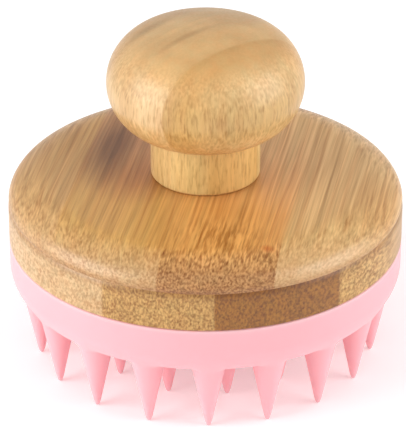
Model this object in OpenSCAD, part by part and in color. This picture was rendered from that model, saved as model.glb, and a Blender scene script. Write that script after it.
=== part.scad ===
// Scalp massager brush: a turned bamboo knob on a round laminated bamboo disc, with a soft
// silicone pad of tapered bristles pulled over a round spigot under the disc.
// Millimetres, +Z up. The origin is on the axis, in the plane of the bristle tips.

/* [Wooden disc] */
// Diameter of the disc, and of the pad below it
disc_d = 80; // [76:1:90]
// Thickness of the top ply, which the rounded shoulder takes up
top_ply_t = 5.8; // [5:0.1:8]
// Thickness of the middle ply, which shows as the straight band
middle_ply_t = 7.9; // [5:0.1:10]
// Thickness of the base ply, which is turned down to a spigot inside the pad
base_ply_t = 7.7; // [5:0.1:9]
// Width of the rounded shoulder, seen from above
shoulder_w = 9.5; // [7:0.5:12]
// Radius of the tighter arc at the foot of the shoulder
shoulder_side_r = 4.2; // [3:0.1:4.6]

/* [Knob] */
// Largest diameter of the knob
knob_d = 39.6; // [34:0.2:46]
// Height of the knob's widest line above the disc
knob_mid_h = 20.2; // [18:0.1:26]
// Height of the crown above the widest line
crown_h = 12.3; // [11.5:0.1:16]
// Radius of the crown's side arc
crown_side_r = 10.8; // [8:0.1:11]
// Depth of the underside below the widest line
under_h = 12; // [11:0.1:15]
// Radius of the underside's side arc
under_side_r = 10.4; // [8:0.1:10.8]
// Diameter of the neck
neck_d = 22.1; // [16:0.1:26]
// Chamfer round the foot of the neck
neck_chamfer = 0.4; // [0.2:0.1:0.8]

/* [Knob screw] */
// Outer diameter of the wood screw's thread
screw_d = 4; // [3.5:0.5:5]
// Length of the screw, head included
screw_len = 38; // [32:1:42]
// Diameter of its countersunk head
screw_head_d = 8; // [7:0.5:9]
// Pitch of its thread
screw_pitch = 1.8; // [1.5:0.1:2.2]

/* [Silicone pad] */
// Thickness of the pad's floor
floor_t = 2.5; // [1.5:0.1:4]
// Thickness of the wall round the spigot
wall_t = 2.5; // [1.5:0.1:3.5]
// Radius of the soft lower edge
edge_r = 6; // [4:0.5:8]
// How far the soft edge draws the underside in from the wall
edge_inset = 2.2; // [1.5:0.1:3.5]
// Room left between the pad and the wood all round
pad_gap = 0.2; // [0.1:0.05:0.4]

/* [Bristles] */
// Length from the pad's underside to the tips
bristle_len = 15; // [11:0.5:18]
// Diameter of a bristle at its root
root_d = 6.8; // [4:0.2:7]
// Diameter of the flat at its tip
tip_d = 1.3; // [0.8:0.1:2]
// Bristles in the outer ring
outer_count = 18; // [12:1:20]
// Bristles in the middle ring
middle_count = 12; // [8:1:14]
// Bristles in the inner ring
inner_count = 6; // [4:1:7]
// Turn of the middle ring from the line of the front bristle, in degrees
middle_turn = 10; // [0:1:30]

/* [Hidden] */
$fn = 96;

disc_r = disc_d / 2;
knob_r = knob_d / 2;
neck_r = neck_d / 2;
front = -90;                    // the front bristle of each ring lies towards -Y

// Heights, from the tips up
underside_z = bristle_len;
base_z = underside_z + floor_t;
middle_z = base_z + base_ply_t;
top_z = middle_z + middle_ply_t;
deck_z = top_z + top_ply_t;
knob_mid_z = deck_z + knob_mid_h;

// Pad
pad_top_z = middle_z - pad_gap;
pocket_r = disc_r - wall_t;
spigot_r = pocket_r - pad_gap;
spigot_chamfer = 1;
edge_z = underside_z + sqrt(edge_r * edge_r - pow(edge_r - edge_inset, 2));
underside_r = disc_r - edge_inset;

// The outer ring's roots touch the underside's rim, and the rings are evenly spaced to the centre
outer_ring_r = underside_r - root_d / 2;
middle_ring_r = outer_ring_r * 2 / 3;
inner_ring_r = outer_ring_r / 3;

// Screw
head_sink = 0.6;                // depth of the head's face inside the base ply
head_z = base_z + head_sink;
head_land = 0.4;                // straight rim of the head below its cone
head_cone_h = (screw_head_d - screw_d) / 2;
thread_root_d = screw_d * 0.72;
thread_len = 24;
thread_tip_h = 3;
tip_z = head_z + screw_len;
thread_z = tip_z - thread_len;
thread_turns = floor((thread_len - thread_tip_h) / screw_pitch);
hole_d = screw_d + 0.6;         // clearance hole through the three plies
sink_d = screw_head_d + 0.4;    // countersink, a little wider than the head
drive_w = 1;                    // cross recess in the head
drive_span = screw_head_d * 0.55;
drive_h = 1.6;
overlap = 1;                    // how far a cutter runs past the face it cuts

bamboo = [0.86, 0.68, 0.45];
bamboo_top = [0.80, 0.60, 0.38];
bamboo_dark = [0.76, 0.57, 0.35];
steel = [0.72, 0.72, 0.74];
silicone = [0.98, 0.77, 0.79];

// Quarter of an oval, w wide and h high from the origin: a tight arc of radius side_r at the
// side runs smoothly into a wide arc over the top.
module oval_quarter(w, h, side_r) {
    side_x = w - side_r;
    wide_r = (side_x * side_x + h * h - side_r * side_r) / (2 * (h - side_r));
    join_angle = atan2(wide_r - h, side_x);
    join_x = side_x + side_r * cos(join_angle);
    intersection() {
        translate([0, h - wide_r]) circle(r = wide_r, $fn = 180);
        square([join_x, h]);
    }
    intersection() {
        translate([side_x, 0]) circle(r = side_r);
        translate([join_x, 0]) square([side_r, h]);
    }
}

// Clearance hole for the screw through a layer between two heights
module screw_hole(low_z, high_z) {
    translate([0, 0, low_z - overlap])
        cylinder(h = high_z - low_z + 2 * overlap, d = hole_d);
}

// One bristle: root on the pad's underside, flat tip at z = 0
module bristle() {
    cylinder(h = underside_z, d1 = tip_d, d2 = root_d, $fn = 48);
}

// Evenly spaced bristles on a circle
module bristle_ring(count, ring_r, turn) {
    for (i = [0 : count - 1])
        rotate([0, 0, front + turn + i * 360 / count])
            translate([ring_r, 0, 0])
                bristle();
}

// Half section of the knob and its neck
module knob_outline() {
    translate([0, knob_mid_z])
        oval_quarter(knob_r, crown_h, crown_side_r);
    translate([0, knob_mid_z])
        mirror([0, 1])
            oval_quarter(knob_r, under_h, under_side_r);
    polygon([
        [0, deck_z],
        [neck_r - neck_chamfer, deck_z],
        [neck_r, deck_z + neck_chamfer],
        [neck_r, knob_mid_z],
        [0, knob_mid_z]
    ]);
}

// Turned bamboo knob with its neck, bored from below for the screw
module knob() {
    color(bamboo)
        difference() {
            rotate_extrude() knob_outline();
            translate([0, 0, deck_z - overlap])
                cylinder(h = tip_z - thread_tip_h - deck_z + overlap, d = thread_root_d);
            translate([0, 0, tip_z - thread_tip_h])
                cylinder(h = thread_tip_h, d1 = thread_root_d, d2 = 0.4);
        }
}

// Top layer of the disc: flat deck with a rounded shoulder
module disc_top_ply() {
    color(bamboo_top)
        difference() {
            translate([0, 0, top_z])
                rotate_extrude()
                    union() {
                        square([disc_r - shoulder_w, top_ply_t]);
                        translate([disc_r - shoulder_w, 0])
                            oval_quarter(shoulder_w, top_ply_t, shoulder_side_r);
                    }
            screw_hole(top_z, deck_z);
        }
}

// Middle layer of the disc: the straight band above the pad
module disc_middle_ply() {
    color(bamboo)
        difference() {
            translate([0, 0, middle_z]) cylinder(h = middle_ply_t, r = disc_r);
            screw_hole(middle_z, top_z);
        }
}

// Base layer of the disc: the spigot that the pad grips, countersunk for the screw
module disc_base_ply() {
    color(bamboo_dark)
        difference() {
            translate([0, 0, base_z]) {
                cylinder(h = spigot_chamfer, r1 = spigot_r - spigot_chamfer, r2 = spigot_r);
                translate([0, 0, spigot_chamfer])
                    cylinder(h = base_ply_t - spigot_chamfer, r = spigot_r);
            }
            screw_hole(base_z, middle_z);
            translate([0, 0, base_z - overlap])
                cylinder(h = head_sink + head_land + overlap, d = sink_d);
            translate([0, 0, head_z + head_land])
                cylinder(h = (sink_d - hole_d) / 2, d1 = sink_d, d2 = hole_d);
        }
}

// Countersunk wood screw, head down, with its thread drawn as closed ridges
module knob_screw() {
    root_r = thread_root_d / 2;
    crest_r = screw_d / 2;
    color(steel)
        difference() {
            union() {
                translate([0, 0, head_z])
                    cylinder(h = head_land, d = screw_head_d);
                translate([0, 0, head_z + head_land])
                    cylinder(h = head_cone_h, d1 = screw_head_d, d2 = screw_d);
                translate([0, 0, head_z + head_land + head_cone_h])
                    cylinder(h = thread_z - head_z - head_land - head_cone_h, d = screw_d);
                translate([0, 0, thread_z])
                    cylinder(h = thread_len - thread_tip_h, d = thread_root_d);
                translate([0, 0, tip_z - thread_tip_h])
                    cylinder(h = thread_tip_h, d1 = thread_root_d, d2 = 0.4);
                for (i = [0 : thread_turns - 1])
                    translate([0, 0, thread_z + i * screw_pitch])
                        rotate_extrude()
                            polygon([
                                [0, 0],
                                [root_r, screw_pitch * 0.1],
                                [crest_r, screw_pitch * 0.45],
                                [crest_r, screw_pitch * 0.55],
                                [root_r, screw_pitch * 0.9],
                                [0, screw_pitch]
                            ]);
            }
            for (quarter = [0, 90])
                rotate([0, 0, quarter])
                    translate([-drive_span / 2, -drive_w / 2, head_z - overlap])
                        cube([drive_span, drive_w, drive_h + overlap]);
        }
}

// Half section of the pad: a shallow cup with a soft lower edge
module pad_outline() {
    difference() {
        translate([0, underside_z])
            square([disc_r, pad_top_z - underside_z]);
        difference() {
            translate([disc_r - edge_r, underside_z - overlap])
                square([edge_r + overlap, edge_z - underside_z + overlap]);
            translate([disc_r - edge_r, edge_z])
                circle(r = edge_r);
        }
        translate([0, base_z])
            square([pocket_r, base_ply_t + overlap]);
    }
}

// Silicone pad, open upwards for the spigot
module silicone_pad() {
    color(silicone) rotate_extrude() pad_outline();
}

// Outer ring of bristles, flush with the rim of the underside
module outer_bristles() {
    color(silicone) bristle_ring(outer_count, outer_ring_r, 0);
}

// Middle ring of bristles
module middle_bristles() {
    color(silicone) bristle_ring(middle_count, middle_ring_r, middle_turn);
}

// Inner ring of bristles
module inner_bristles() {
    color(silicone) bristle_ring(inner_count, inner_ring_r, 0);
}

// The single bristle on the axis
module centre_bristle() {
    color(silicone) bristle();
}

knob();
disc_top_ply();
disc_middle_ply();
disc_base_ply();
knob_screw();
silicone_pad();
outer_bristles();
middle_bristles();
inner_bristles();
centre_bristle();
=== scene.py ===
"""Looks for the scalp massager brush: turned bamboo knob and disc, and one soft silicone moulding.

Lengths are in millimetres inside the shape functions, and every mesh is built in metres in the CAD frame.
The stage, which is the floor, the lights and the camera, is in metres.
"""
import math

import bmesh
import bpy
import numpy as np
from mathutils import Matrix, Vector
from mathutils.geometry import delaunay_2d_cdt


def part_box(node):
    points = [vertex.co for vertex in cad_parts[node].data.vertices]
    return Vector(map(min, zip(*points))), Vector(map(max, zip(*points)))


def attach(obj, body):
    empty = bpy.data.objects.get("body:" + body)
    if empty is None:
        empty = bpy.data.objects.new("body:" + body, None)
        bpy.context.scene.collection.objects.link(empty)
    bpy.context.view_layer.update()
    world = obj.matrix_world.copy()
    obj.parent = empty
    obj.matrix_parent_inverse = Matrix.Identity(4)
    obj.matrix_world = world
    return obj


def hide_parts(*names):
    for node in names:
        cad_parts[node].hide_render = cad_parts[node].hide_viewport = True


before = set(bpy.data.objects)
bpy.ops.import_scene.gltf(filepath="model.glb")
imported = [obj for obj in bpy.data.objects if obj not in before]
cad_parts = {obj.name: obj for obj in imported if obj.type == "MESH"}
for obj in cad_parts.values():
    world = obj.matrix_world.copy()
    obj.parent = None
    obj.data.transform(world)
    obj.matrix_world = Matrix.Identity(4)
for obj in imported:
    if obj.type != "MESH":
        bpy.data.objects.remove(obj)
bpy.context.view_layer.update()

MM = 0.001
STEPS_ROUND = 256              # segments round the axis of the turned pieces
HOLD = 1.0                     # a ring this far from a rounded edge, in mm, keeps the flat beside it even


# ---------------------------------------------------------------- sizes from the CAD model

def span(node):
    """(lowest corner, highest corner) of a CAD node in millimetres."""
    low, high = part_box(node)
    return [v / MM for v in low], [v / MM for v in high]


(_, _, UNDERSIDE_Z), (_, _, PAD_TOP_Z) = span("silicone_pad")
(_, _, BASE_Z), (SPIGOT_R, _, _) = span("disc_base_ply")
(_, _, MIDDLE_Z), _ = span("disc_middle_ply")
(_, _, TOP_Z), (DISC_R, _, DECK_Z) = span("disc_top_ply")
_, (KNOB_R, _, CROWN_Z) = span("knob")

# The same driving dimensions as the CAD source
KNOB_MID_H = 20.2              # widest line of the knob above the deck
UNDER_H = 12.0                 # depth of the knob's underside arc
CROWN_SIDE_R = 10.8
UNDER_SIDE_R = 10.4
NECK_R = 11.05
SHOULDER_W = 9.5
SHOULDER_SIDE_R = 4.2
SPIGOT_CHAMFER = 1.0
SCREW_HOLE_R = 2.3
SINK_R = 4.2                   # countersink of the screw's head
SINK_LAND = 1.0                # straight part of the countersink below its cone
PILOT_R = 1.44                 # pilot hole in the knob
PILOT_H = 17.2                 # its depth above the deck, tip included
PILOT_TIP_H = 3.0
WALL_T = 2.5
EDGE_R = 6.0                   # radius of the pad's soft lower edge
EDGE_INSET = 2.2
CONE_ROOT_R = 3.4              # root of the CAD's plain cones, which the soft ones flare out from
RINGS = ((18, 1.0, 0.0), (12, 2 / 3, 10.0), (6, 1 / 3, 0.0))    # count, share of the outer radius, turn
FRONT = -90.0                  # the front bristle lies towards -Y

# Soft detail that only the looks have
FOOT_R = 0.5                   # eased foot of the neck
CREASE_R = 0.35                # soft crease between the neck and the head of the knob
GROOVE_D = 0.30                # soft groove round the rim at the glue line of the top ply
GROOVE_H = 1.0
GROOVE_POWER = 1.6             # above 1, so that it runs out softly
BAND_EASE = 0.12               # eased lower edge of the band
LIP_R = 0.35                   # eased lip of the pad
POCKET_EASE = 0.2              # eased edge and corner of the pad's pocket
ROOT_R = 3.6                   # a bristle's soft cone at the underside
TIP_R = 0.5                    # its round tip
FILLET = 1.4                   # how far the blend between a bristle and the underside reaches

KNOB_MID_Z = DECK_Z + KNOB_MID_H
POCKET_R = DISC_R - WALL_T
UNDERSIDE_R = DISC_R - EDGE_INSET
OUTER_RING_R = UNDERSIDE_R - CONE_ROOT_R
EDGE_Z = UNDERSIDE_Z + math.sqrt(EDGE_R ** 2 - (EDGE_R - EDGE_INSET) ** 2)


# ---------------------------------------------------------------- outlines and turned meshes

def arc(centre_r, centre_z, radius, start, end, steps):
    """Points of a circular arc in the half section, from angle start to end in degrees."""
    angles = np.radians(np.linspace(start, end, steps))
    return [(centre_r + radius * math.cos(a), centre_z + radius * math.sin(a)) for a in angles]


def oval_quarter(width, height, side_r, steps=40):
    """Outline from (width, 0) up to (0, height): a tight side arc running into a wide arc over the top."""
    side_x = width - side_r
    wide_r = (side_x ** 2 + height ** 2 - side_r ** 2) / (2 * (height - side_r))
    join = math.degrees(math.atan2(wide_r - height, side_x))
    tight = arc(side_x, 0, side_r, 0, join, steps // 2)
    wide = arc(0, height - wide_r, wide_r, join, 90, steps)
    return tight + wide[1:]


def circle(count):
    """X and Y of evenly spaced points on a circle of radius 1."""
    angles = np.arange(count) * 2 * math.pi / count
    return np.cos(angles), np.sin(angles)


def new_ring(mesh, x, y, z):
    """Vertices at these places, in mm."""
    return [mesh.verts.new((a * MM, b * MM, c * MM)) for a, b, c in zip(x, y, z)]


def turned_ring(mesh, radius, height):
    """A ring of vertices about the axis, or the axis point itself."""
    if radius < 1e-6:
        return new_ring(mesh, [0], [0], [height])
    x, y = circle(STEPS_ROUND)
    return new_ring(mesh, radius * x, radius * y, np.full(STEPS_ROUND, height))


def join_rings(mesh, rings):
    """Faces from each ring of vertices to the next. A ring of one vertex is a pole."""
    for low, high in zip(rings, rings[1:]):
        count = max(len(low), len(high))
        for i in range(count):
            j = (i + 1) % count
            if len(low) == 1:
                mesh.faces.new((low[0], high[j], high[i]))
            elif len(high) == 1:
                mesh.faces.new((low[i], low[j], high[0]))
            else:
                mesh.faces.new((low[i], low[j], high[j], high[i]))


def turned(name, outline, closed=False):
    """A solid of revolution about Z. The outline is (radius, height) points in mm.

    It runs from axis to axis, or it is a closed loop.
    """
    mesh = bmesh.new()
    rings = [turned_ring(mesh, radius, height) for radius, height in outline]
    join_rings(mesh, rings + rings[:1] if closed else rings)
    bmesh.ops.recalc_face_normals(mesh, faces=mesh.faces)
    return as_piece(name, mesh)


def as_piece(name, mesh, crease_degrees=35):
    """Puts a bmesh in the scene with smooth faces and true edges where it turns sharply."""
    data = bpy.data.meshes.new(name)
    mesh.to_mesh(data)
    mesh.free()
    data.shade_smooth()
    data.set_sharp_from_angle(angle=math.radians(crease_degrees))
    piece = bpy.data.objects.new(name, data)
    bpy.context.scene.collection.objects.link(piece)
    return piece


def knob_outline():
    """Half section of the knob: pilot hole, foot, neck, a soft crease and the oval head."""
    crown = oval_quarter(KNOB_R, CROWN_Z - KNOB_MID_Z, CROWN_SIDE_R)
    under = oval_quarter(KNOB_R, UNDER_H, UNDER_SIDE_R)
    crown = [(r, KNOB_MID_Z + z) for r, z in crown]
    under = [(r, KNOB_MID_Z - z) for r, z in under if r > NECK_R + CREASE_R]
    crease_z = under[-1][1]
    pilot_z = DECK_Z + PILOT_H
    points = [(0, pilot_z), (PILOT_R, pilot_z - PILOT_TIP_H), (PILOT_R, DECK_Z)]
    points += arc(NECK_R - FOOT_R, DECK_Z + FOOT_R, FOOT_R, -90, 0, 6)
    points += [(NECK_R, DECK_Z + HOLD), (NECK_R, crease_z - HOLD)]
    points += arc(NECK_R + CREASE_R, crease_z - CREASE_R, CREASE_R, 180, 95, 5)
    return points + under[::-1] + crown[1:]


def top_ply_outline():
    """Half section of the top ply: flat deck and rounded shoulder, drawn in a little at the glue line."""
    shoulder = oval_quarter(SHOULDER_W, DECK_Z - TOP_Z, SHOULDER_SIDE_R)
    inner_r = DISC_R - SHOULDER_W
    points = [(inner_r + r - groove_depth(z), TOP_Z + z) for r, z in shoulder]
    return points + [(inner_r - HOLD, DECK_Z), (SCREW_HOLE_R, DECK_Z), (SCREW_HOLE_R, TOP_Z)]


def middle_ply_outline():
    """Half section of the middle ply: the band, drawn in at the glue line and eased at its lower edge."""
    points = arc(DISC_R - BAND_EASE, MIDDLE_Z + BAND_EASE, BAND_EASE, -90, 0, 6)
    points += [(DISC_R, MIDDLE_Z + HOLD)]
    points += [(DISC_R - groove_depth(below), TOP_Z - below) for below in np.linspace(GROOVE_H, 0, 8)]
    return points + [(SCREW_HOLE_R, TOP_Z), (SCREW_HOLE_R, MIDDLE_Z)]


def groove_depth(from_glue_line):
    """How far the rim is drawn in, at this distance above or below the glue line."""
    share = max(0.0, 1 - from_glue_line / GROOVE_H)
    return GROOVE_D * share ** GROOVE_POWER


def base_ply_outline():
    """Half section of the base ply: spigot with a lead-in, and the countersink."""
    sink_z = BASE_Z + SINK_LAND
    return [
        (SINK_R, BASE_Z), (SPIGOT_R - SPIGOT_CHAMFER, BASE_Z),
        (SPIGOT_R, BASE_Z + SPIGOT_CHAMFER), (SPIGOT_R, MIDDLE_Z),
        (SCREW_HOLE_R, MIDDLE_Z), (SCREW_HOLE_R, sink_z + SINK_R - SCREW_HOLE_R), (SINK_R, sink_z),
    ]


# ---------------------------------------------------------------- the silicone moulding

def bristle_centres():
    """Centre of every bristle in the plane of the tips, the axis one first."""
    centres = [(0.0, 0.0)]
    for count, share, turn in RINGS:
        for i in range(count):
            angle = math.radians(FRONT + turn + i * 360 / count)
            ring_r = OUTER_RING_R * share
            centres.append((ring_r * math.cos(angle), ring_r * math.sin(angle)))
    return np.array(centres)


CENTRES = bristle_centres()
PATCH_R = ROOT_R + FILLET      # each bristle's own mesh patch
PATCH_AROUND = 36              # segments round it
PATCH_CLEAR = 0.25             # the nearest that the underside's own points come to a patch
# Rings of the underside's mesh over the soft edge, in from the wall. The turned wall goes on from the first.
EDGE_RINGS = (0.35, 0.55, 0.8, 1.1, 1.45, 1.8, 2.15, 2.5, 2.8, 3.2, 3.8)
FIELD_R = DISC_R - EDGE_RINGS[0]
CORNER_EASE = 0.35             # between the flat underside and the soft edge
HALVINGS = 44                  # steps of the search for the surface


def from_bristle(x, y):
    """Distance of each place, seen from above, from the nearest bristle's axis."""
    return np.hypot(np.subtract.outer(x, CENTRES[:, 0]), np.subtract.outer(y, CENTRES[:, 1])).min(axis=-1)


def underside_height(radius):
    """Height of the pad's underside and soft edge, before the bristles. The corner between them is eased."""
    flat = np.full_like(radius, UNDERSIDE_Z)
    out = np.clip(radius - (DISC_R - EDGE_R), 0, EDGE_R - 1e-3)
    edge = EDGE_Z - np.sqrt(EDGE_R ** 2 - out ** 2)
    gap = np.clip(CORNER_EASE - np.abs(flat - edge), 0, None)
    return np.maximum(flat, edge) + gap ** 2 / (4 * CORNER_EASE)


def silicone_height(x, y):
    """Height of the lower silicone surface at each point: underside and cones, blended where they meet."""
    base = underside_height(np.hypot(x, y))
    distance = from_bristle(x, y)
    low, high = np.full_like(x, -TIP_R), base + FILLET
    for _ in range(HALVINGS):
        middle = (low + high) / 2
        outside = blended(base - middle, cone_distance(distance, middle)) > 0
        low, high = np.where(outside, middle, low), np.where(outside, high, middle)
    return (low + high) / 2


def cone_distance(distance, height):
    """Distance from the surface of a cone with a round tip, by distance from its axis and height."""
    slope = math.atan2(ROOT_R - TIP_R, UNDERSIDE_Z)
    side = (distance - TIP_R - height * math.tan(slope)) * math.cos(slope)
    tip = np.hypot(distance, height - TIP_R) - TIP_R
    return np.where(height < TIP_R, np.maximum(tip, side), side)


def blended(a, b):
    """Smooth minimum of two distances."""
    near = np.clip(FILLET - np.abs(a - b), 0, None)
    return np.minimum(a, b) - near ** 2 / (4 * FILLET)


def bristle_steps():
    """Distances from a bristle's axis at which its patch has a ring: close at the tip and at the blend."""
    round_tip = np.radians([20, 42, 62, 78])
    tip = TIP_R * np.sin(round_tip)
    side = np.linspace(TIP_R + 0.02, ROOT_R - 0.35, 12)
    root = np.linspace(ROOT_R - 0.2, PATCH_R, 14)
    return np.concatenate([tip, side, root])


def silicone_moulding():
    """Pad and bristles as one closed mesh.

    It has the bristles' patches, the underside between them, then the turned wall and pocket.
    """
    mesh = bmesh.new()
    plan, links = [], []
    for centre in CENTRES:
        links += loop_edges(len(plan), PATCH_AROUND)
        plan += bristle_patch(mesh, *centre)
    x, y = field_points().T
    field = new_ring(mesh, x, y, silicone_height(x, y))
    links += loop_edges(len(plan), STEPS_ROUND)
    plan += field
    fill_between(mesh, plan, links)
    wall = [turned_ring(mesh, radius, height) for radius, height in wall_outline()]
    join_rings(mesh, [field[:STEPS_ROUND]] + wall)
    bmesh.ops.recalc_face_normals(mesh, faces=mesh.faces)
    return as_piece("silicone_brush_pad", mesh, crease_degrees=60)


def bristle_patch(mesh, centre_x, centre_y):
    """One bristle and the blend round its root. Returns its outermost ring."""
    rings = [new_ring(mesh, [centre_x], [centre_y], [0.0])]
    circle_x, circle_y = circle(PATCH_AROUND)
    for step in bristle_steps():
        x = centre_x + step * circle_x
        y = centre_y + step * circle_y
        rings.append(new_ring(mesh, x, y, silicone_height(x, y)))
    join_rings(mesh, rings)
    return rings[-1]


def loop_edges(first, count):
    """Edges of a closed loop of count vertices that starts at index first."""
    return [(first + i, first + (i + 1) % count) for i in range(count)]


def field_points():
    """Points of the underside between the patches: the outer loop, then rings clear of every patch."""
    unit = np.stack(circle(STEPS_ROUND), axis=1)
    outer, *inner = [(DISC_R - inset) * unit for inset in EDGE_RINGS]
    inner = np.concatenate(inner)
    clear = from_bristle(inner[:, 0], inner[:, 1]) > PATCH_R + PATCH_CLEAR
    return np.concatenate([outer, inner[clear]])


def fill_between(mesh, plan, links):
    """Triangles between the bristle patches and the outer loop, in plan view."""
    flat = [Vector((v.co.x / MM, v.co.y / MM)) for v in plan]
    inside_links = 1
    found, _, faces, origin, _, _ = delaunay_2d_cdt(flat, links, [], inside_links, 1e-5)
    patch_side = PATCH_R * math.cos(math.pi / PATCH_AROUND)
    for face in faces:
        x, y = np.mean([found[i] for i in face], axis=0)
        if from_bristle(x, y) > patch_side:
            mesh.faces.new([plan[origin[i][0]] for i in face])


def wall_outline():
    """From the end of the underside round the wall, over its soft lip and down into the pocket."""
    start = -math.degrees(math.acos((FIELD_R - DISC_R + EDGE_R) / EDGE_R))
    points = arc(DISC_R - EDGE_R, EDGE_Z, EDGE_R, start, 0, 10)[1:]
    points += [(DISC_R, EDGE_Z + HOLD), (DISC_R, PAD_TOP_Z - HOLD)]
    points += arc(DISC_R - LIP_R, PAD_TOP_Z - LIP_R, LIP_R, 0, 90, 8)
    points += arc(POCKET_R + POCKET_EASE, PAD_TOP_Z - POCKET_EASE, POCKET_EASE, 90, 180, 5)
    points += [(POCKET_R, PAD_TOP_Z - HOLD), (POCKET_R, BASE_Z + HOLD)]
    points += arc(POCKET_R - POCKET_EASE, BASE_Z + POCKET_EASE, POCKET_EASE, 0, -90, 5)
    return points + [(POCKET_R - HOLD, BASE_Z), (0, BASE_Z)]


# ---------------------------------------------------------------- materials

LIP_HIGHLIGHT_H = 0.9                    # height of a painted highlight, lighter pink along the top of the pad's lip
REACH = 50.0                   # glued strips are given from -REACH to REACH across the fibre, in mm
EVEN_LEVEL = 0.56              # mean level of the grain, which leaves a strip's colour as it is


def srgb(red, green, blue):
    """A display colour, 0 to 255, as linear RGBA."""
    parts = [c / 255 for c in (red, green, blue)]
    return tuple(c / 12.92 if c <= 0.04045 else ((c + 0.055) / 1.055) ** 2.4 for c in parts) + (1.0,)


class Graph:
    """A short way to write a node material."""

    def __init__(self, name):
        self.material = bpy.data.materials.new(name)
        self.material.use_nodes = True
        self.nodes = self.material.node_tree.nodes
        self.links = self.material.node_tree.links
        self.nodes.clear()

    def add(self, kind, inputs=None, **settings):
        """A node, with its settings and with a value or another node's output on each named input."""
        node = self.nodes.new("ShaderNode" + kind)
        for key, value in settings.items():
            setattr(node, key, value)
        for key, value in (inputs or {}).items():
            if isinstance(value, bpy.types.NodeSocket):
                self.links.new(value, node.inputs[key])
            else:
                node.inputs[key].default_value = value
        return node

    def math(self, operation, first, second=0.0, third=0.0):
        """A number worked out from up to three others."""
        node = self.add("Math", {0: first, 1: second, 2: third}, operation=operation)
        return node.outputs[0]

    def mix(self, factor, first, second, blend="MIX"):
        """A colour mixed from two others."""
        node = self.add("Mix", {0: factor, 6: first, 7: second}, data_type="RGBA", blend_type=blend)
        return node.outputs[2]

    def ramp(self, factor, stops):
        """The colour and alpha outputs of a colour ramp. Stops are (place, linear RGBA)."""
        node = self.add("ValToRGB", {0: factor})
        elements = node.color_ramp.elements
        while len(elements) < len(stops):
            elements.new(0.5)
        for element, (place, colour) in zip(elements, stops):
            element.position = place
            element.color = colour
        return node.outputs["Color"], node.outputs["Alpha"]

    def scaled(self, vector, scale):
        """vector times scale, axis by axis."""
        return self.add("VectorMath", {0: vector, 1: scale}, operation="MULTIPLY").outputs[0]

    def sized(self, vector, size):
        """vector in units of size along each axis, so that a pattern of unit scale is that large."""
        return self.scaled(vector, tuple(1 / side for side in size))

    def noise(self, vector, detail=2.0, roughness=0.5):
        """3-D noise of unit scale, so that vector sets its size."""
        inputs = {"Vector": vector, "Scale": 1.0, "Detail": detail, "Roughness": roughness}
        return self.add("TexNoise", inputs).outputs["Fac"]

    def grain(self, vector, size, detail, roughness, low, high):
        """Noise of this size in mm along each axis, from low to high as 0 to 1."""
        return self.spread(self.noise(self.sized(vector, size), detail, roughness), low, high)

    def blend(self, first, second, share):
        """A number between two others."""
        node = self.add("Mix", {0: share, 2: first, 3: second}, data_type="FLOAT")
        return node.outputs[0]

    def spread(self, value, low, high):
        """value from low to high as 0 to 1, clamped."""
        node = self.add("MapRange", {"Value": value, "From Min": low, "From Max": high})
        return node.outputs[0]

    def finish(self, shader):
        """Ends the material with this shader and returns it."""
        self.add("OutputMaterial", {"Surface": shader.outputs[0]})
        return self.material


def strip_ramp(graph, across, strips, colour, soft):
    """Colour and strength by place across the fibre, in mm.

    colour and soft name the values of strips to take. A strip turns into the next one over twice the
    softness, in mm, of the edge where the next one starts.
    """
    place = graph.spread(across, -REACH, REACH)
    stops = [(0.0, strips[0][colour])]
    for before, after in zip(strips, strips[1:]):
        for side, shown in ((-1, before), (1, after)):
            edge = after["start"] + side * after[soft]
            stops.append(((edge + REACH) / (2 * REACH), shown[colour]))
    return graph.ramp(place, stops)


def strip(start, near, far, end, strength=1.0, side_soft=0.1, end_soft=0.1):
    """One glued strip, from start across the fibre in mm.

    near, far: its colours along the fibre, at the near and the far end of the fibre. end: across the fibre.
    strength: how strongly its cut ends show. It is kept in the alpha of the end colour.
    side_soft, end_soft: softness of its first edge, in mm, for the colours along and across the fibre.
    """
    return {
        "start": start, "near": srgb(*near), "far": srgb(*far), "end": (*srgb(*end)[:3], strength),
        "side_soft": side_soft, "end_soft": end_soft,
    }


def stain_and_painted_shade(graph, tone, fibre, mark):
    """tone with a soft oval mark. Some marks are stains in the wood, others are painted shade. A mark is its
    centre and half sizes in the fibre frame, and its tint.
    """
    centre, size, tint = mark
    amount = oval_place(graph, fibre, centre, size)
    return graph.mix(amount, tone, graph.mix(1.0, tone, (*tint, 1), "MULTIPLY"))


def grain_frames(graph, fibre, across, cane_w, edge):
    """Two frames for the grain: one that jumps from cane to cane, and the same one with a slow sway."""
    index = graph.math("FLOOR", graph.math("DIVIDE", graph.math("SUBTRACT", across, edge), cane_w))
    shuffle = graph.add("TexWhiteNoise", {"W": index}, noise_dimensions="1D").outputs["Color"]
    steady = graph.add("VectorMath", {0: shuffle, 1: (90, 300, 90), 2: fibre}, operation="MULTIPLY_ADD")
    steady = steady.outputs[0]
    wander = graph.noise(graph.scaled(steady, (0.12, 0.015, 0.12)), 1.0)
    sway = graph.add("CombineXYZ", {0: graph.math("MULTIPLY", wander, 2.0)}).outputs[0]
    return steady, graph.add("VectorMath", {0: steady, 1: sway}, operation="ADD").outputs[0]


def long_grain(graph, swaying, cell, run, threads):
    """Light and dark in streaks along the fibre, with fine dark threads among them."""
    share, darkest, gone = threads
    streaks = graph.grain(swaying, (0.8, run * 1.6, 1.0), 3.5, 0.65, 0.36, 0.64)
    fine_size = (cell[0] * 0.85, run * 0.5, cell[0] * 0.95)
    fine = graph.grain(swaying, fine_size, 2.0, 0.55, darkest, gone)
    return graph.blend(streaks, fine, share)


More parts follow.
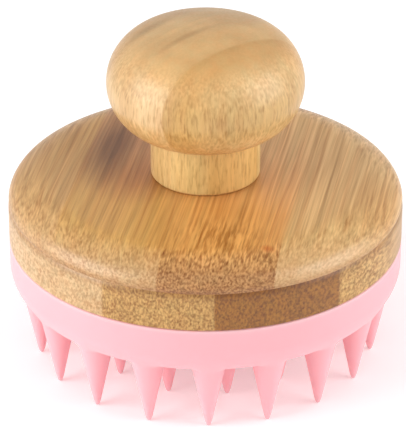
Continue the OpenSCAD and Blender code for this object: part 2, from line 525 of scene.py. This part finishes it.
def cut_grain(graph, swaying, cell, run):
    """Light and dark where the fibre is cut across: soft dots, sharpened a little by round cells."""
    size = (cell[0], run, cell[1])
    dots = graph.grain(swaying, size, 1.0, 0.5, 0.36, 0.64)
    cells = {"Vector": graph.sized(swaying, size), "Scale": 1.0}
    pores = graph.add("TexVoronoi", cells, feature="F1").outputs["Distance"]
    return graph.blend(dots, graph.spread(pores, 0.2, 0.62), 0.3)


def drifted(graph, fibre, steady, swing):
    """swing with the slow changes of tone added, from streak to streak and over the whole board."""
    broad = graph.grain(steady, (5.0, 130.0, 6.0), 2.0, 0.5, 0.3, 0.7)
    cloud = graph.grain(fibre, (20.0, 34.0, 20.0), 2.0, 0.5, 0.3, 0.7)
    slow = graph.math("MULTIPLY_ADD", graph.math("SUBTRACT", broad, 0.5), 0.14, swing)
    return graph.math("MULTIPLY_ADD", graph.math("SUBTRACT", cloud, 0.5), 0.08, slow)


def bamboo(name, turn, way, cane_w, edge, strips, change, cell, run, side_grain, end_grain,
           threads=(0.42, 0.30, 0.60), marks=(), flecks=None, calm=None):
    """Lacquered bamboo with straight fibre, streaked along it and dotted where it is cut across.

    turn: rotation from the object to the fibre frame, X across the glued strips and Y along the fibre.
    way: direction of the fibre in the object.
    cane_w, edge: width of the canes' grain and the place of one of its edges, across the fibre in mm.
    strips: the glued strips, as strip() makes them. change: where near turns to far, along the fibre in mm.
    cell: size of a fibre bundle's cut end across and up, in mm. run: how far a streak runs, in mm.
    side_grain, end_grain: contrast along and across the fibre.
    threads: share of the fine dark threads in the grain, and the noise levels of their dark and light ends.
    marks: stains in the wood and patches of painted shade, each given as centre, half sizes and tint, the
    form the oval mark function above takes.
    flecks: centre and half sizes of the place where the streaks turn short and strong, as by a cane's node.
    calm: heights in mm between which the grain fades, on a polished crown.
    """
    graph = Graph(name)
    coords = graph.add("TexCoord")
    position, normal = coords.outputs["Object"], coords.outputs["Normal"]
    local = graph.add("Mapping", {"Vector": position, "Rotation": turn, "Scale": (1 / MM,) * 3})
    fibre = local.outputs[0]
    across, along, _ = graph.add("SeparateXYZ", {0: fibre}).outputs
    steady, swaying = grain_frames(graph, fibre, across, cane_w, edge)
    facing = graph.add("VectorMath", {0: normal, 1: way}, operation="DOT_PRODUCT")
    facing = graph.math("ABSOLUTE", facing.outputs["Value"])
    cut = graph.spread(facing, 0.08, 0.42)

    near, _ = strip_ramp(graph, across, strips, "near", "side_soft")
    far, _ = strip_ramp(graph, across, strips, "far", "side_soft")
    end, strength = strip_ramp(graph, across, strips, "end", "end_soft")
    tone = graph.mix(graph.spread(along, *change), near, far)
    tone = graph.mix(graph.spread(facing, 0.15, 0.6), tone, end)
    for mark in marks:
        tone = stain_and_painted_shade(graph, tone, fibre, mark)

    side = long_grain(graph, swaying, cell, run, threads)
    contrast = side_grain
    if flecks:
        lively = oval_place(graph, fibre, *flecks)
        short = graph.grain(swaying, (0.55, 5.5, 0.7), 2.0, 0.5, 0.38, 0.62)
        side = graph.blend(side, short, graph.math("MULTIPLY", lively, 0.6))
        contrast = graph.math("MULTIPLY_ADD", lively, 0.35, side_grain)
    level = graph.blend(side, cut_grain(graph, swaying, cell, run), cut)
    contrast = graph.blend(contrast, graph.math("MULTIPLY", strength, end_grain), cut)
    slant = graph.math("MULTIPLY", cut, graph.math("SUBTRACT", 1.0, cut))
    contrast = graph.math("MULTIPLY", contrast, graph.math("MULTIPLY_ADD", slant, 2.4, 1.0))
    if calm:
        height = graph.math("DIVIDE", graph.add("SeparateXYZ", {0: position}).outputs[2], MM)
        contrast = graph.math("MULTIPLY", contrast, graph.blend(1.0, 0.2, graph.spread(height, *calm)))

    swing = graph.math("MULTIPLY", graph.math("SUBTRACT", level, EVEN_LEVEL), contrast)
    swing = drifted(graph, fibre, steady, swing)
    hue = graph.grain(steady, (1.6, 90.0, 2.0), 2.0, 0.6, 0.3, 0.7)
    warmth = graph.mix(hue, (1.03, 0.98, 0.95, 1), (0.97, 1.02, 1.05, 1))
    shade = graph.add("VectorMath", {0: swing, 1: (1.0, 1.3, 1.8), 2: warmth}, operation="MULTIPLY_ADD")
    colour = graph.mix(1.0, tone, shade.outputs[0], "MULTIPLY")
    return lacquered(graph, colour, level)


def lacquered(graph, colour, level):
    """The satin oiled surface: dark grain is a little duller than light grain, and lies a little lower."""
    rough = graph.add("MapRange", {"Value": level, "To Min": 0.5, "To Max": 0.38}).outputs[0]
    relief = graph.add("Bump", {"Height": level, "Strength": 0.35, "Distance": 0.00003})
    shader = graph.add("BsdfPrincipled", {
        "Base Color": colour, "Roughness": rough, "Normal": relief.outputs[0],
        "Specular IOR Level": 0.5, "Coat Weight": 0.3, "Coat Roughness": 0.3,
    })
    return graph.finish(shader)


def oval_place(graph, fibre, centre, size):
    """1 in the middle of an oval place in the fibre frame, falling to 0 a little past its half sizes."""
    offset = graph.add("VectorMath", {0: fibre, 1: centre}, operation="SUBTRACT").outputs[0]
    away = graph.add("VectorMath", {0: graph.sized(offset, size)}, operation="LENGTH").outputs["Value"]
    return graph.spread(away, 1.2, 0.3)


def silicone_material():
    """Soft pale pink silicone: matt, a little translucent, with faint cloudiness and a fine moulded skin."""
    graph = Graph("silicone_pink")
    coords = graph.add("TexCoord").outputs["Object"]
    cloud = graph.noise(graph.scaled(coords, (60, 60, 60)), 3.0, 0.55)
    skin = graph.noise(graph.scaled(coords, (2600, 2600, 2600)), 2.0, 0.6)
    colour = graph.mix(cloud, srgb(245, 174, 181), srgb(247, 179, 186))
    height = graph.add("SeparateXYZ", {0: coords}).outputs[2]
    # painted highlight: the pink turns lighter towards the top of the pad's lip
    lip = graph.spread(height, (PAD_TOP_Z - LIP_HIGHLIGHT_H) * MM, PAD_TOP_Z * MM)
    colour = graph.mix(lip, colour, srgb(250, 192, 196))
    rough = graph.add("MapRange", {
        "Value": cloud, "From Min": 0.3, "From Max": 0.7, "To Min": 0.5, "To Max": 0.6,
    })
    bump = graph.add("Bump", {"Height": skin, "Strength": 0.25, "Distance": 0.00003})
    shader = graph.add("BsdfPrincipled", {
        "Base Color": colour, "Roughness": rough.outputs[0], "Normal": bump.outputs[0],
        "Subsurface Weight": 0.35, "Subsurface Radius": (0.004, 0.0022, 0.002), "Subsurface Scale": 1.0,
        "Specular IOR Level": 0.4, "Sheen Weight": 0.2, "Sheen Roughness": 0.4,
    })
    return graph.finish(shader)


def steel_material():
    """Zinc-plated screw steel with fine scratches and dull patches."""
    graph = Graph("screw_steel")
    coords = graph.add("TexCoord").outputs["Object"]
    scratch = graph.noise(graph.scaled(coords, (3000, 3000, 400)), 3.0, 0.7)
    cloud = graph.noise(graph.scaled(coords, (400, 400, 400)), 2.0)
    colour = graph.mix(cloud, srgb(176, 176, 180), srgb(205, 204, 200))
    rough = graph.add("MapRange", {"Value": scratch, "To Min": 0.22, "To Max": 0.5})
    bump = graph.add("Bump", {"Height": scratch, "Strength": 0.3, "Distance": 0.00002})
    shader = graph.add("BsdfPrincipled", {
        "Base Color": colour, "Metallic": 1.0, "Roughness": rough.outputs[0], "Normal": bump.outputs[0],
    })
    return graph.finish(shader)


# The disc's fibre lies flat, and its strips are glued side by side across it
DISC_GRAIN = math.radians(78.8)    # direction of the fibre, from +X
DISC_TURN = (0, 0, math.pi / 2 - DISC_GRAIN)
DISC_WAY = (math.cos(DISC_GRAIN), math.sin(DISC_GRAIN), 0)
STRIP_W = 22.4                 # width of a glued strip, which is also the width of a cane's grain
TOP_EDGE = -2.6                # a joint between strips in each ply, across the fibre
MIDDLE_EDGE = 8.8
BASE_EDGE = 5.4
DISC_RUN = 40.0                # length of a streak
# A darker line round the rim where the top ply is glued down, as a mark: partly the dark glue joint, partly
# painted shade of the crease there
GLUE_JOINT_AND_CREASE_SHADE = ((0, 0, TOP_Z), (400, 400, 1.5), (0.78, 0.71, 0.62))
# The knob's fibre stands upright, and its glue planes run at this angle from +X
KNOB_PLANE = 36.0
KNOB_WAY = (0, 0, 1)
KNOB_CANE_W = 12.2
KNOB_EDGE = -9.2


def knob_turn():
    """Rotation to the knob's fibre frame: X across the glue planes, Y up and Z along the planes."""
    plane = math.radians(KNOB_PLANE)
    across = Vector((-math.sin(plane), math.cos(plane), 0))
    upright = Vector(KNOB_WAY)
    return tuple(Matrix((across, upright, across.cross(upright))).to_euler("XYZ"))


knob_bamboo = bamboo(
    "knob_bamboo", knob_turn(), KNOB_WAY, KNOB_CANE_W, KNOB_EDGE,
    [
        strip(-REACH, (208, 167, 103), (192, 150, 89), (224, 184, 126)),
        strip(-15, (208, 165, 97), (192, 147, 81), (208, 159, 96), side_soft=2.0, end_soft=2.0),
        strip(-10.6, (204, 161, 93), (183, 139, 80), (202, 154, 90), side_soft=1.2, end_soft=1.2),
        strip(KNOB_EDGE, (211, 175, 110), (205, 166, 115), (214, 169, 109), end_soft=0.25),
        strip(-3, (206, 168, 107), (194, 154, 102), (205, 162, 106), side_soft=1.5, end_soft=1.5),
        strip(3, (201, 161, 104), (197, 159, 106), (204, 164, 109), side_soft=0.4, end_soft=0.6),
        strip(7.5, (199, 158, 100), (195, 158, 107), (193, 151, 98), side_soft=1.5, end_soft=1.5),
    ],
    change=(48, 52), cell=(0.5, 0.5), run=6.0, side_grain=0.56, end_grain=0.26,
    threads=(0.7, 0.24, 0.52), calm=(66.0, 68.5),
    marks=[
        ((8.2, 70, -8.0), (1.6, 4, 6), (0.80, 0.79, 0.75)),
        ((-1.2, 71, -6), (0.9, 4, 8), (0.80, 0.77, 0.70)),
        ((2.3, 71, -5), (0.9, 4, 7), (1.08, 1.10, 1.10)),
    ],
)
top_bamboo = bamboo(
    "disc_top_bamboo", DISC_TURN, DISC_WAY, STRIP_W, TOP_EDGE,
    [
        strip(-REACH, (195, 148, 87), (184, 136, 76), (194, 151, 101), 0.7),
        strip(TOP_EDGE - STRIP_W, (198, 148, 75), (180, 127, 77), (194, 151, 101), 0.8, side_soft=0.3),
        strip(TOP_EDGE, (214, 152, 79), (214, 168, 108), (172, 121, 70), 1.4, side_soft=4.0),
        strip(TOP_EDGE + STRIP_W, (211, 165, 101), (212, 166, 105), (208, 166, 116), 0.5, side_soft=1.2),
    ],
    change=(-16, 8), cell=(0.44, 0.44), run=DISC_RUN, side_grain=0.6, end_grain=0.62,
    marks=[
        ((-20.6, 7, DECK_Z), (4.6, 17, 8), (0.44, 0.36, 0.23)),
        ((-13, -6, DECK_Z), (7, 10, 8), (0.80, 0.67, 0.54)),
        ((36, -5, DECK_Z), (5, 13, 6), (0.95, 0.86, 0.79)),
        ((17.4, -28.8, DECK_Z), (1.5, 1.1, 2), (0.88, 0.60, 0.36)),
        # painted shade: a darker ring on the deck round the foot of the knob's neck, where shade falls
        ((0, 0, DECK_Z), (12.2, 12.2, 3), (0.56, 0.44, 0.32)),
        GLUE_JOINT_AND_CREASE_SHADE,
    ],
    flecks=((8, -27, DECK_Z), (12, 9, 6)),
)
middle_bamboo = bamboo(
    "disc_middle_bamboo", DISC_TURN, DISC_WAY, STRIP_W, MIDDLE_EDGE,
    [
        strip(-REACH, (200, 158, 106), (200, 158, 106), (198, 159, 111), 0.6),
        strip(MIDDLE_EDGE - STRIP_W, (200, 152, 92), (200, 152, 92), (177, 132, 70), 1.0, end_soft=0.4),
        strip(MIDDLE_EDGE, (168, 118, 66), (168, 118, 66), (140, 87, 18), 0.9),
        strip(MIDDLE_EDGE + STRIP_W, (188, 142, 82), (188, 142, 82), (181, 137, 75), 1.0),
    ],
    change=(-10, 10), cell=(0.44, 0.66), run=DISC_RUN, side_grain=0.4, end_grain=0.8,
    marks=[GLUE_JOINT_AND_CREASE_SHADE],
)
base_bamboo = bamboo(
    "disc_base_bamboo", DISC_TURN, DISC_WAY, STRIP_W, BASE_EDGE,
    [
        strip(-REACH, (200, 152, 98), (200, 152, 98), (198, 152, 100)),
        strip(BASE_EDGE, (208, 162, 108), (208, 162, 108), (204, 160, 108)),
    ],
    change=(-10, 10), cell=(0.44, 0.66), run=DISC_RUN, side_grain=0.5, end_grain=0.55,
)


# ---------------------------------------------------------------- pieces on their bodies

def place(piece, material, body, slot, *nodes):
    """Gives a piece its material and body, and hides the CAD nodes that it stands for. Its record slot is
    not used.
    """
    piece.data.materials.clear()
    piece.data.materials.append(material)
    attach(piece, body)
    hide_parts(*nodes)


place(
    turned("bamboo_knob", knob_outline()),
    knob_bamboo, "handle", "knob_bamboo", "knob",
)
place(
    turned("bamboo_top_ply", top_ply_outline(), closed=True),
    top_bamboo, "handle", "disc_bamboo", "disc_top_ply",
)
place(
    turned("bamboo_middle_ply", middle_ply_outline(), closed=True),
    middle_bamboo, "handle", "disc_bamboo", "disc_middle_ply",
)
place(
    turned("bamboo_base_ply", base_ply_outline(), closed=True),
    base_bamboo, "handle", "disc_bamboo", "disc_base_ply",
)
place(
    silicone_moulding(),
    silicone_material(), "brush_pad", "silicone",
    "silicone_pad", "outer_bristles", "middle_bristles", "inner_bristles", "centre_bristle",
)

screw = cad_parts["knob_screw"]
screw.data.materials.clear()
screw.data.materials.append(steel_material())


# ---------------------------------------------------------------- floor, light and camera

MIDDLE = Vector((0, 0, 0.035))    # middle of the brush, which the lights and the camera face
FLOOR_HALF_W = 1.5
FLOOR_GLOW = 0.23              # the floor's own light, so that it reads as near white
HORIZON = 0.74                 # brightness of the studio level with the brush
ZENITH = 0.62                  # and overhead
ZENITH_FROM = 0.9              # height on the unit sphere of directions where it is reached
CAMERA_TURN = math.radians(-1.0)      # round the brush from the front
CAMERA_RISE = math.radians(28.4)      # above level
CAMERA_AWAY = 0.6
CAMERA_LENS = 244.8
AIM_LEFT = 0.0005              # how far off the middle the camera aims
AIM_DOWN = 0.0061


def make_floor():
    """A pale floor that glows faintly. From below it is clear, so that the bristles can be looked at."""
    mesh = bmesh.new()
    bmesh.ops.create_grid(mesh, x_segments=1, y_segments=1, size=FLOOR_HALF_W)
    floor = as_piece("floor", mesh)
    graph = Graph("floor_pale")
    pale = graph.add("BsdfPrincipled", {
        "Base Color": (0.94, 0.94, 0.94, 1), "Roughness": 0.9, "Specular IOR Level": 0.1,
        "Emission Color": (1, 1, 1, 1), "Emission Strength": FLOOR_GLOW,
    })
    clear = graph.add("BsdfTransparent")
    back = graph.add("NewGeometry").outputs["Backfacing"]
    shown = graph.add("MixShader", {0: back, 1: pale.outputs[0], 2: clear.outputs[0]})
    floor.data.materials.append(graph.finish(shown))


def area_light(name, location, size, watts):
    """A soft square light that faces the middle of the brush."""
    data = bpy.data.lights.new(name, "AREA")
    data.energy = watts
    data.size = size
    light = bpy.data.objects.new(name, data)
    light.location = location
    light.rotation_euler = (MIDDLE - Vector(location)).to_track_quat("-Z", "Y").to_euler()
    bpy.context.scene.collection.objects.link(light)


def make_world():
    """A white studio, brightest at the height of the brush and dimmer overhead."""
    world = bpy.data.worlds.new("studio")
    world.use_nodes = True
    nodes, links = world.node_tree.nodes, world.node_tree.links
    direction = nodes.new("ShaderNodeTexCoord")
    axes = nodes.new("ShaderNodeSeparateXYZ")
    level = nodes.new("ShaderNodeMapRange")
    level.inputs["From Max"].default_value = ZENITH_FROM
    level.inputs["To Min"].default_value = HORIZON
    level.inputs["To Max"].default_value = ZENITH
    links.new(direction.outputs["Generated"], axes.inputs[0])
    links.new(axes.outputs["Z"], level.inputs["Value"])
    background = nodes["Background"]
    background.inputs["Color"].default_value = (1, 1, 1, 1)
    links.new(level.outputs[0], background.inputs["Strength"])
    bpy.context.scene.world = world


def make_camera():
    """Three-quarter view from above, aimed below the middle, so that the brush sits high in the frame."""
    data = bpy.data.cameras.new("camera")
    data.lens = CAMERA_LENS
    camera = bpy.data.objects.new("camera", data)
    level = math.cos(CAMERA_RISE)
    back = Vector((math.sin(CAMERA_TURN) * level, -math.cos(CAMERA_TURN) * level, math.sin(CAMERA_RISE)))
    facing = (-back).to_track_quat("-Z", "Y")
    right = facing @ Vector((1, 0, 0))
    up = facing @ Vector((0, 1, 0))
    aim = MIDDLE - right * AIM_LEFT - up * AIM_DOWN
    camera.location = MIDDLE + back * CAMERA_AWAY
    camera.rotation_euler = (aim - camera.location).to_track_quat("-Z", "Y").to_euler()
    bpy.context.scene.collection.objects.link(camera)
    bpy.context.scene.camera = camera


make_floor()
make_world()
area_light("key_left", location=(-0.75, -0.25, 0.32), size=0.6, watts=5.0)
area_light("fill_right", location=(0.75, -0.18, 0.32), size=0.6, watts=3.2)
make_camera()
bpy.context.scene.view_settings.view_transform = "Standard"
